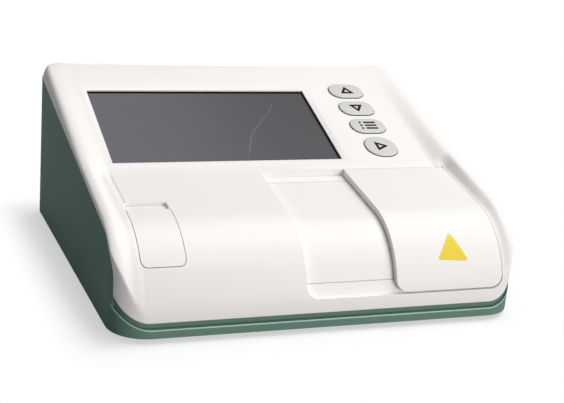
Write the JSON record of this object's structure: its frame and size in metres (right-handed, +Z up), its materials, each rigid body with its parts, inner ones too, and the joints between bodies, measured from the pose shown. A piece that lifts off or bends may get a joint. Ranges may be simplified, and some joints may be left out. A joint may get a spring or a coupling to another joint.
{
  "type": "dry chemistry analyzer",
  "caption": "Desktop dry chemistry analyzer, a wedge housing with a sloping screen, pads to press, a sliding cover over the strip stage and a hinged code slot flap.",
  "frame": {"origin": "centre of the bounding box at its lowest plane, the plane the feet rest on", "axes": "+X to the right seen from the front, +Y towards the back where the connectors are, +Z up"},
  "size_m": [0.256, 0.234, 0.1079],
  "materials": {
    "shell_white": "fine satin moulded plastic",
    "base_green": "fine satin moulded plastic",
    "screen_glass": "satin anti-glare front over a dark display",
    "screen_panel": "smooth",
    "key_grey": "satin silicone",
    "gasket_black": "matte",
    "steel": "plain",
    "zinc_screw": "plain",
    "board_green": "glass fibre laminate with solder mask",
    "inner_black": "matte moulded plastic",
    "stage_grey": "matte",
    "clear_glass": "polished",
    "alloy": "machined",
    "foot_rubber": "matte"
  },
  "bodies": {
    "housing": {"top_shell": "shell_white", "display_glass": "screen_glass", "display_gasket": "gasket_black", "display_panel": "screen_panel", "display_frame": "steel", "display_screws": "zinc_screw", "key_board": "board_green", "key_switches": "inner_black", "strip_stage": "stage_grey", "stage_windows": "clear_glass", "stage_heater": "alloy", "optics_block": "inner_black", "optics_board": "board_green", "flap_pin": "steel", "code_socket": "inner_black", "code_key": "inner_black", "base_shell": "base_green", "housing_screws": "zinc_screw", "foot_back_left": "foot_rubber", "foot_back_right": "foot_rubber", "foot_front_left": "foot_rubber", "foot_front_right": "foot_rubber", "main_board": "board_green", "power_inlet": "inner_black", "data_ports": "steel", "serial_port": "steel", "switch_housing": "inner_black"},
    "cover": {"sliding_cover": "shell_white", "cover_runner_back": "inner_black", "cover_runner_front": "inner_black"},
    "flap": {"slot_flap": "shell_white"},
    "next_button": {"key_next": "key_grey"},
    "list_button": {"key_list": "key_grey"},
    "down_button": {"key_down": "key_grey"},
    "up_button": {"key_up": "key_grey"},
    "rocker": {"switch_rocker": "inner_black"}
  },
  "joints": [
    {"name": "cover_slide", "type": "slide", "parent": "housing", "child": "cover", "axis": [-1, 0, 0], "range_m": [0, 0.057]},
    {"name": "flap_hinge", "type": "hinge", "parent": "housing", "child": "flap", "pos_m": [-0.098, -0.09805, 0.04598], "axis": [1, 0, 0], "range_deg": [0, 75]},
    {"name": "next_press", "type": "slide", "parent": "housing", "child": "next_button", "axis": [0, 0.3099, -0.9508], "range_m": [0, 0.0006], "stiffness_N_per_m": 1500, "springref_m": -0.0002},
    {"name": "list_press", "type": "slide", "parent": "housing", "child": "list_button", "axis": [0, 0.3099, -0.9508], "range_m": [0, 0.0006], "stiffness_N_per_m": 1500, "springref_m": -0.0002},
    {"name": "down_press", "type": "slide", "parent": "housing", "child": "down_button", "axis": [0, 0.3099, -0.9508], "range_m": [0, 0.0006], "stiffness_N_per_m": 1500, "springref_m": -0.0002},
    {"name": "up_press", "type": "slide", "parent": "housing", "child": "up_button", "axis": [0, 0.3099, -0.9508], "range_m": [0, 0.0006], "stiffness_N_per_m": 1500, "springref_m": -0.0002},
    {"name": "switch_rock", "type": "hinge", "parent": "housing", "child": "rocker", "pos_m": [-0.098, 0.1134, 0.034], "axis": [1, 0, 0], "range_deg": [-8, 8]}
  ]
}
